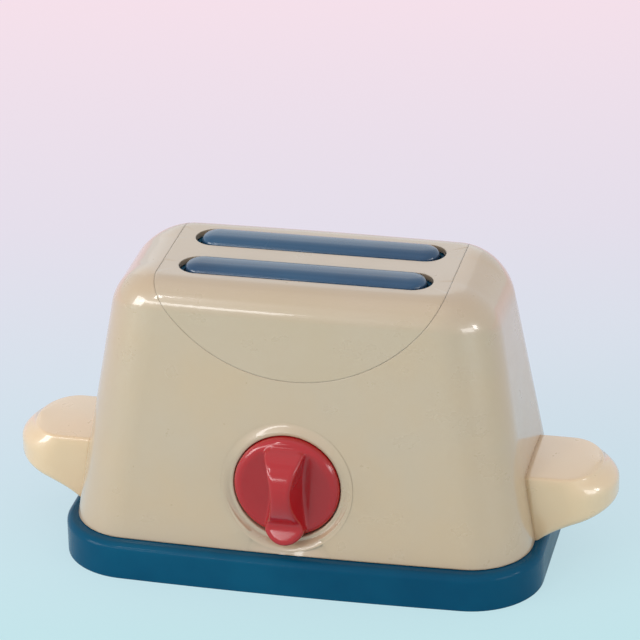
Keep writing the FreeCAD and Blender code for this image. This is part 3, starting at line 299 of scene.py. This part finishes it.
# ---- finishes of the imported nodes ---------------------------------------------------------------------

def finishes():
    """The material of each node that isn't steel, by node name, and the steel."""
    shell = moulded_plastic("cream_shell_plastic", CREAM_SHELL, CREAM_SHELL_WARM, CREAM_RUBBED, waviness=0.08)
    panel = moulded_plastic("cream_panel_plastic", CREAM_PANEL, CREAM_SHELL, CREAM_RUBBED, waviness=0.05)
    # The handles' finish: the shell's cream plastic made lighter, as painted light for the light they catch.
    handle = moulded_plastic("cream_handle_plastic_lit", CREAM_HANDLE_LIT, CREAM_HANDLE_LIT_WARM, CREAM_RUBBED)
    base = moulded_plastic("blue_base_plastic", BLUE_BASE, BLUE_BASE_DEEP, BLUE_RUBBED,
                           gloss=(0.16, 0.26), coat=0.15, waviness=0.25, shine=0.15, ior=1.3)
    bar = moulded_plastic("blue_bar_plastic", BLUE_BAR, BLUE_BAR_DEEP, BLUE_RUBBED,
                          gloss=(0.20, 0.30), coat=0.6, shine=0.4)
    red = moulded_plastic("red_knob_plastic", RED_KNOB, RED_KNOB_DEEP, RED_RUBBED,
                          gloss=(0.14, 0.22), coat=0.65, waviness=0.1, shine=0.3)
    white = moulded_plastic("white_inner_plastic", WHITE_INNER, WHITE_INNER_DULL, WHITE_RUBBED,
                            gloss=(0.45, 0.6), coat=0.0)
    zinc = plated_metal("zinc_plate_metal", ZINC_GREY, 0.32, (1.0, 1.0, 0.12))
    steel = plated_metal("steel_metal", STEEL_GREY, 0.22, (1.0, 0.2, 1.0))
    return {
        "housing": shell,
        "slot_panel": panel,
        "base_tray": base,
        "slot_liner": base,
        "front_lift_bar": bar,
        "rear_lift_bar": bar,
        "left_handle": handle,
        "right_handle": handle,
        "knob": red,
        "lift_carriage": white,
        "lock_cam": white,
        "latch_lever": white,
        "knob_shaft": white,
        "left_handle_retainer": white,
        "right_handle_retainer": white,
        "latch_bracket": zinc,
    }, steel


# ---- putting pieces in the scene ----------------------------------------------------------------------

MERGE = 0.002 * MM      # points closer than this are one


def add_mesh(mesh, name, material, body, node=None):
    """Puts a mesh in the scene with its finish, riding a body and standing for a node if one is named."""
    mesh.materials.clear()
    mesh.materials.append(material)
    piece = bpy.data.objects.new(name, mesh)
    bpy.context.scene.collection.objects.link(piece)
    if node:
        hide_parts(node)
    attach(piece, body)
    return piece


def add_form(form, name, material, body, node=None):
    """Turns a bmesh into a smooth mesh and puts it in the scene."""
    for face in form.faces:
        face.smooth = True
    mesh = bpy.data.meshes.new(name)
    form.to_mesh(mesh)
    form.free()
    add_mesh(mesh, name, material, body, node)


# ---- the slot panel, fitted closely -------------------------------------------------------------------

PANEL_HALF = 53.5 * MM      # half length of the panel's outline
PANEL_DROP = 32.0 * MM      # from the top down to its lowest point
TOP_HEIGHT = 112.0 * MM
SEAM_HALF = 0.15 * MM       # panel's edge inside the outline
SEAM_CLOSE = 0.25 * MM      # how far the shown panel's edge is moved outwards
ON_EDGE = 0.02 * MM         # a point this close to the outline lies on it


def close_panel(material):
    """The slot panel with its edge moved out, so that the seam is as fine as the toy's."""
    radius = (PANEL_HALF ** 2 + PANEL_DROP ** 2) / (2 * PANEL_DROP)
    centre = TOP_HEIGHT - PANEL_DROP + radius
    mesh = NODES["slot_panel"].data.copy()
    for vertex in mesh.vertices:
        x, z = vertex.co.x, vertex.co.z - centre
        out = math.hypot(x, z)
        if abs(out - (radius - SEAM_HALF)) < ON_EDGE:
            vertex.co.x += x / out * SEAM_CLOSE
            vertex.co.z += z / out * SEAM_CLOSE
        elif abs(abs(x) - (PANEL_HALF - SEAM_HALF)) < ON_EDGE:
            vertex.co.x += math.copysign(SEAM_CLOSE, x)
    add_mesh(mesh, "slot_panel_fitted", material, "body", "slot_panel")


# ---- the handles, with the toy's crest, bulged end and flared root ------------------------------------

SIDE_LEAN = math.tan(math.radians(9.4))
ROOT_X = 81.86 * MM             # the housing's side at the handle's top
ROOT_SINK = 0.6 * MM            # how far the root runs into the housing's wall
HANDLE_TOP_Z = 39.0 * MM
BEND_X = 94.5 * MM              # where the straight flanks end
CREST_X = 108.3 * MM            # outermost point of the top's edge
CREST_Y = 17.9 * MM
CREST_Z = 39.2 * MM
CREST_ROUND = 1.3 * MM
CREST_TURN = 75.0               # degrees that the rounded crest turns down
CROWN = 0.6 * MM                # rise of the top's middle over its edge
BULGE_SIDE = 0.9 * MM           # how far the flanks stand out below the crest
BULGE_END = 5.5 * MM            # and the end
BULGE_HASTE = 1.7               # above 1 the bulge is full before the flank ends
LOW_ROOT = 15.0 * MM            # underside at the root
LOW_SLOPE = 0.297
TOP_SHARES = (0.0, 0.3, 0.55, 0.75, 0.9)    # of the half width, across the top
LOW_SHARES = (0.85, 0.6, 0.3, 0.0)          # and across the underside
FLARE_DROP = 2.1 * MM           # how far the underside drops at the root
FLARE_START = 4.1 * MM          # out from ROOT_X
FLARE_REACH = 14.0 * MM
GAUGE_Z = 24.0 * MM             # height at which a column's reach is measured
SOFT_START = 4.0 * MM           # out from ROOT_X
SOFT_REACH = 14.0 * MM
SOFT_ROOT = 1.2 * MM            # rounding of the lower edge at the root
SOFT_END = 3.4 * MM             # and past SOFT_REACH
FLANK_STEPS = 9
END_STEPS = 48
CREST_STEPS = 6
SIDE_STEPS = 10
LOW_STEPS = 7


def handle_low(x):
    """Height of a handle's underside, which flares down to the bottom of the housing."""
    near = max(0.0, 1.0 - (x - ROOT_X - FLARE_START) / FLARE_REACH)
    return LOW_ROOT + LOW_SLOPE * (x - ROOT_X) - FLARE_DROP * near ** 2


def handle_outline():
    """Points round the top's edge, root to root: share along a flank or None, x, y and outward direction."""
    flank = [(i / FLANK_STEPS) ** 0.8 for i in range(FLANK_STEPS)]
    points = [(share, 0.0, -CREST_Y, 0.0, -1.0) for share in flank]
    reach = CREST_X - BEND_X
    for i in range(END_STEPS + 1):
        turn = math.radians(-90.0 + 180.0 * i / END_STEPS)
        nx, ny = math.cos(turn) / reach, math.sin(turn) / CREST_Y
        size = math.hypot(nx, ny)
        x, y = BEND_X + reach * math.cos(turn), CREST_Y * math.sin(turn)
        points.append((None, x, y, nx / size, ny / size))
    return points + [(share, 0.0, CREST_Y, 0.0, 1.0) for share in reversed(flank)]


def handle_column(share, x, y, nx, ny):
    """One line of points from the middle of a handle's top, over its edge and flank, to its underside."""
    def placed(out, width, z):
        px = x + out * nx
        if share is not None:
            wall = ROOT_X + (HANDLE_TOP_Z - z) * SIDE_LEAN - ROOT_SINK
            px = wall + (BEND_X - wall) * share
        return px, (y + out * ny) * width, z

    bulge = BULGE_SIDE + (BULGE_END - BULGE_SIDE) * nx ** 2
    column = [placed(-CREST_ROUND, inner, CREST_Z + CROWN * (1.0 - inner ** 2)) for inner in TOP_SHARES]
    for i in range(CREST_STEPS + 1):
        a = math.radians(CREST_TURN * i / CREST_STEPS)
        drop = CREST_ROUND * (1.0 - math.cos(a))
        column.append(placed(CREST_ROUND * (math.sin(a) - 1.0), 1.0, CREST_Z - drop))
    start = column[-1][2]
    gauge = placed(bulge, 1.0, GAUGE_Z)[0]
    low = handle_low(gauge)
    far = min(1.0, max(0.0, (gauge - ROOT_X - SOFT_START) / SOFT_REACH))
    soft = SOFT_ROOT + (SOFT_END - SOFT_ROOT) * far
    end = low + soft
    for i in range(1, SIDE_STEPS + 1):
        v = i / SIDE_STEPS
        out = bulge * math.sin(math.pi / 2 * min(1.0, v * BULGE_HASTE)) ** 0.8
        column.append(placed(out, 1.0, start + (end - start) * v))
    for i in range(1, LOW_STEPS + 1):
        a = math.radians(90.0 * i / LOW_STEPS)
        column.append(placed(bulge - soft * (1.0 - math.cos(a)), 1.0, end - soft * math.sin(a)))
    return column + [placed(bulge - soft, inner, low) for inner in LOW_SHARES]


def shaped_handle(side, node, material):
    """A handle as one closed shell; side is -1 for the left one and 1 for the right one."""
    form = bmesh.new()
    rows = [[form.verts.new((side * px, py, pz)) for px, py, pz in handle_column(*point)]
            for point in handle_outline()]
    for a, b in zip(rows, rows[1:]):
        for i in range(len(a) - 1):
            form.faces.new((a[i], b[i], b[i + 1], a[i + 1]))
    bmesh.ops.remove_doubles(form, verts=form.verts, dist=MERGE)
    ends = [edge for edge in form.edges if len(edge.link_faces) == 1]
    bmesh.ops.holes_fill(form, edges=ends, sides=0)
    bmesh.ops.recalc_face_normals(form, faces=form.faces)
    add_form(form, node + "_shaped", material, "body", node)


# ---- the lift bars, domed -----------------------------------------------------------------------------

SLOT_Y = 12.5 * MM
BAR_HALF = 44.6 * MM
BAR_WIDE = 6.55 * MM            # half width
BAR_CROWN = 114.0 * MM
BAR_DOME = 3.4 * MM             # from the crown down to where the sides stand upright
BAR_LOW = 102.0 * MM
BAR_BEVEL = 0.3 * MM            # of the lower edge
BAR_HOLLOW = 4.0 * MM           # depth of the hollow in the cap's underside
BAR_UNDERSIDE = ((0.8, BAR_HOLLOW), (0.8, BAR_BEVEL), (0.84, 0.0), (0.97, 0.0), (1.0, BAR_BEVEL))
POST_OVERLAP = 1.0 * MM         # how far the posts run into the cap
DOME_FULLNESS = 0.75            # below 1 the dome is fuller than an ellipse
DOME_STEPS = 12
END_TURN_STEPS = 24


def capsule(r, z, y0):
    """A ring of a pill's outline shrunk to share r of its width, about the line y = y0."""
    spine = BAR_HALF - BAR_WIDE
    ring = []
    for end in (1.0, -1.0):
        for i in range(END_TURN_STEPS + 1):
            turn = math.radians(-90.0 + 180.0 * i / END_TURN_STEPS)
            x = end * (spine + BAR_WIDE * r * math.cos(turn))
            ring.append((x, y0 + end * BAR_WIDE * r * math.sin(turn), z))
    return ring


def bridge(form, rings):
    """Joins closed rings of points, given outer to inner or low to high, with quads."""
    rows = [[form.verts.new(point) for point in ring] for ring in rings]
    for a, b in zip(rows, rows[1:]):
        for i in range(len(a)):
            j = (i + 1) % len(a)
            form.faces.new((a[i], a[j], b[j], b[i]))


def domed_bar(side, node, material):
    """A lift bar with its own posts and a domed cap that all but fills the slot."""
    form = bmesh.new()
    form.from_mesh(NODES[node].data)
    everything = form.verts[:] + form.edges[:] + form.faces[:]
    bmesh.ops.bisect_plane(form, geom=everything, plane_co=(0.0, 0.0, BAR_LOW + POST_OVERLAP),
                           plane_no=(0.0, 0.0, 1.0), clear_outer=True)
    y0 = side * SLOT_Y
    upright = BAR_CROWN - BAR_DOME
    rings = [capsule(share, BAR_LOW + rise, y0) for share, rise in BAR_UNDERSIDE]
    rings += [capsule(1.0, BAR_LOW + (upright - BAR_LOW) * k, y0) for k in (0.3, 0.7)]
    for i in range(DOME_STEPS + 1):
        turn = math.radians(90.0 * i / DOME_STEPS)
        share = max(0.001, math.cos(turn) ** DOME_FULLNESS)
        rings.append(capsule(share, upright + BAR_DOME * math.sin(turn) ** DOME_FULLNESS, y0))
    bridge(form, rings)
    bmesh.ops.remove_doubles(form, verts=form.verts, dist=MERGE)
    add_form(form, node + "_domed", material, "lift", node)


# ---- the ring round the knob, the housing behind it, and the knob's edges -----------------------------

BEZEL_AXIS = (-1.5 * MM, 40.0 * MM)     # x and z of the knob's axis
BEZEL_WALL_Y = -43.11 * MM              # housing's front at that height
FRONT_LEAN = math.tan(math.radians(8.5))
BEZEL_INNER = 19.97 * MM
BEZEL_LIP = 21.4 * MM
BEZEL_OUTER = 24.5 * MM
BEZEL_STEPS = 12
BEZEL_POINTS = 144
LIP_LEVEL = 0.55 * MM           # the lip behind the front, level with the axis
LIP_LEAN = 1.65 * MM            # how much farther back it lies at its top
OUTER_PROUD = 0.03 * MM         # outer edge ahead of the wall
INNER_EDGE = ((0.0, 2.2 * MM), (0.0, 0.3 * MM), (0.1 * MM, 0.08 * MM), (0.3 * MM, 0.0), (1.0 * MM, 0.0))


def bezel_level(rise, radius):
    """How far the ring lies behind the front's height at the axis; rise is the sine of the place's angle."""
    lip = LIP_LEVEL + LIP_LEAN * rise
    if radius <= BEZEL_LIP:
        return lip
    share = min(1.0, (radius - BEZEL_LIP) / (BEZEL_OUTER - BEZEL_LIP))
    ease = share * (2.0 - share)
    return lip * (1.0 - ease) + (radius * rise * FRONT_LEAN - OUTER_PROUD) * ease


def knob_bezel(material):
    """The ring round the knob, drawn smoothly from the housing's leaning front down to the knob's edge."""
    form = bmesh.new()
    x0, z0 = BEZEL_AXIS
    rings = []
    steps = [(BEZEL_INNER + out, back) for out, back in INNER_EDGE]
    steps += [(BEZEL_LIP + (BEZEL_OUTER - BEZEL_LIP) * i / BEZEL_STEPS, 0.0) for i in range(BEZEL_STEPS + 1)]
    for radius, back in steps:
        points = []
        for i in range(BEZEL_POINTS):
            turn = 2.0 * math.pi * i / BEZEL_POINTS
            level = bezel_level(math.sin(turn), radius) + back
            points.append((x0 + radius * math.cos(turn), BEZEL_WALL_Y + level, z0 + radius * math.sin(turn)))
        rings.append(points)
    bridge(form, rings)
    bmesh.ops.recalc_face_normals(form, faces=form.faces)
    if form.faces[-1].normal.y > 0:
        bmesh.ops.reverse_faces(form, faces=form.faces)
    add_form(form, "knob_bezel", material, "body")


BORE_EDGE_RADIUS = 22.5 * MM    # the housing's points inside this and BORE_EDGE_DEPTH are set back
BORE_EDGE_DEPTH = 3.5 * MM
BORE_SET_BACK = 0.35 * MM       # behind the ring


def fitted_housing(material):
    """The housing with the edge of its bore set back behind the ring."""
    mesh = NODES["housing"].data.copy()
    x0, z0 = BEZEL_AXIS
    for vertex in mesh.vertices:
        x, z = vertex.co.x - x0, vertex.co.z - z0
        radius = math.hypot(x, z)
        level = vertex.co.y - BEZEL_WALL_Y
        if radius < BORE_EDGE_RADIUS and level < BORE_EDGE_DEPTH:
            vertex.co.y += max(0.0, bezel_level(z / radius, radius) + BORE_SET_BACK - level)
    add_mesh(mesh, "housing_fitted", material, "body", "housing")


KNOB_VOXEL = 0.36 * MM
KNOB_SMOOTHING = 16             # passes


def soften_knob():
    """Rounds the knob's moulded edges as soft as the toy's."""
    knob = NODES["knob"]
    even = knob.modifiers.new("even", "REMESH")
    even.mode = "VOXEL"
    even.voxel_size = KNOB_VOXEL
    even.use_smooth_shade = True
    soft = knob.modifiers.new("soft", "SMOOTH")
    soft.factor = 0.5
    soft.iterations = KNOB_SMOOTHING


# ---- the lift springs ---------------------------------------------------------------------------------


def squeezing_springs(material):
    """The two lift springs, as copies of their nodes' meshes riding the body."""
    for name in ("left_lift_spring", "right_lift_spring"):
        spring = add_mesh(NODES[name].data.copy(), name + "_coil", material, "body", name)
        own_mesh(spring)


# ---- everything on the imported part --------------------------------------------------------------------

def dress_nodes():
    by_node, steel = finishes()
    for name, node in NODES.items():
        node.data.materials.clear()
        node.data.materials.append(by_node.get(name, steel))
    close_panel(by_node["slot_panel"])
    for side, name in ((-1.0, "left_handle"), (1.0, "right_handle")):
        shaped_handle(side, name, by_node[name])
    for side, name in ((-1.0, "front_lift_bar"), (1.0, "rear_lift_bar")):
        domed_bar(side, name, by_node[name])
    knob_bezel(by_node["housing"])
    fitted_housing(by_node["housing"])
    soften_knob()
    squeezing_springs(steel)


# ---- floor, world and lamps ---------------------------------------------------------------------------

FLOOR_RADIUS = 9.0
FLOOR_SEGMENTS = 96
FLOOR_GLOW = 0.82       # share of the floor's colour that is plain background
FLOOR_MIRRORED = 0.30   # the same in reflections
FLOOR_START = -0.10     # where the run of colours starts, in metres past the origin, away from the camera
FLOOR_END = 0.60        # and where it ends
WORLD_STRENGTH = 0.86
BACKDROP_SHARE = 0.5
BACKDROP_MIRRORED = 0.8
LAMP_AIM = Vector((0.0, 0.0, 60 * MM))
SOFT_BOXES = (
    # name, azimuth, elevation, distance, width, height, watts
    ("front_box", -34.0, 18.0, 1.6, 1.2, 0.20, 4.7),
    ("window_box", -28.0, 38.0, 1.6, 0.14, 0.34, 2.0),
    ("left_box", -60.0, 14.0, 1.6, 0.6, 0.6, 7.3),
    ("rim_box", -162.0, 24.0, 1.6, 1.4, 0.8, 1.1),
    ("right_box", 81.0, 14.0, 1.5, 0.22, 0.22, 1.7),
    ("right_fill", 62.0, 9.0, 1.6, 0.7, 0.34, 3.2),
    ("top_box", -20.0, 78.0, 1.5, 1.4, 1.0, 0.8),
)


def make_floor():
    """A pale floor whose colour runs from cyan in front to pink behind."""
    mesh = bpy.data.meshes.new("floor")
    form = bmesh.new()
    bmesh.ops.create_circle(form, cap_ends=True, segments=FLOOR_SEGMENTS, radius=FLOOR_RADIUS)
    form.to_mesh(mesh)
    form.free()
    floor = bpy.data.objects.new("floor", mesh)
    bpy.context.scene.collection.objects.link(floor)
    s = Shader("floor_paper")
    away = direction(CAMERA_AZIMUTH, 0.0)
    along = s.add("ShaderNodeVectorMath", operation="DOT_PRODUCT")
    along.inputs[1].default_value = (-away.x, -away.y, 0.0)
    s.link(s.place, "Object", along, 0)
    share = s.spread(along, "Value", 0.0, 1.0, FLOOR_START, FLOOR_END)
    ramp = s.add("ShaderNodeValToRGB")
    ramp.color_ramp.elements[0].color = linear(FLOOR_NEAR)
    ramp.color_ramp.elements[1].color = linear(FLOOR_FAR)
    for at, colour in ((0.22, FLOOR_LOW), (0.55, FLOOR_HIGH)):
        ramp.color_ramp.elements.new(at).color = linear(colour)
    s.link(share, "Result", ramp, "Fac")
    s.link(ramp, "Color", s.surface, "Base Color")
    s.set(Roughness=0.9, Specular_IOR_Level=0.2)
    s.bump([(s.noise(0.9 * MM), 0.02 * MM, 0.3)])
    glow = s.add("ShaderNodeEmission")
    s.link(ramp, "Color", glow, "Color")
    seen = seen_ray(s.tree, FLOOR_GLOW, FLOOR_MIRRORED)
    mix = s.add("ShaderNodeMixShader")
    s.link(seen, "Value", mix, 0)
    s.tree.links.new(s.surface.outputs["BSDF"], mix.inputs[1])
    s.tree.links.new(glow.outputs["Emission"], mix.inputs[2])
    s.link(mix, "Shader", s.output, "Surface")
    mesh.materials.append(s.material)


def make_world():
    """Even light from all round, and a pale backdrop for the camera and for reflections."""
    world = bpy.data.worlds.new("world")
    world.use_nodes = True
    tree = world.node_tree
    light = tree.nodes["Background"]
    light.inputs["Color"].default_value = linear(WORLD_LIGHT)
    light.inputs["Strength"].default_value = WORLD_STRENGTH
    backdrop = tree.nodes.new("ShaderNodeBackground")
    backdrop.inputs["Color"].default_value = linear(BACKDROP)
    backdrop.inputs["Strength"].default_value = 1.0
    mix = tree.nodes.new("ShaderNodeMixShader")
    tree.links.new(seen_ray(tree, BACKDROP_SHARE, BACKDROP_MIRRORED).outputs[0], mix.inputs[0])
    tree.links.new(light.outputs[0], mix.inputs[1])
    tree.links.new(backdrop.outputs[0], mix.inputs[2])
    tree.links.new(mix.outputs[0], tree.nodes["World Output"].inputs["Surface"])
    bpy.context.scene.world = world


def soft_box(name, azimuth, elevation, distance, width, height, power):
    """A rectangular lamp at that direction and distance from the part, turned to it."""
    data = bpy.data.lights.new(name, "AREA")
    data.shape = "RECTANGLE"
    data.size = width
    data.size_y = height
    data.energy = power
    lamp = bpy.data.objects.new(name, data)
    out = direction(math.radians(azimuth), math.radians(elevation))
    lamp.location = LAMP_AIM + out * distance
    lamp.rotation_mode = "QUATERNION"
    lamp.rotation_quaternion = (-out).to_track_quat("-Z", "Y")
    bpy.context.scene.collection.objects.link(lamp)


def main():
    scene = bpy.context.scene
    scene.view_settings.view_transform = "Standard"
    make_camera()
    dress_nodes()
    make_floor()
    make_world()
    for box in SOFT_BOXES:
        soft_box(*box)


main()
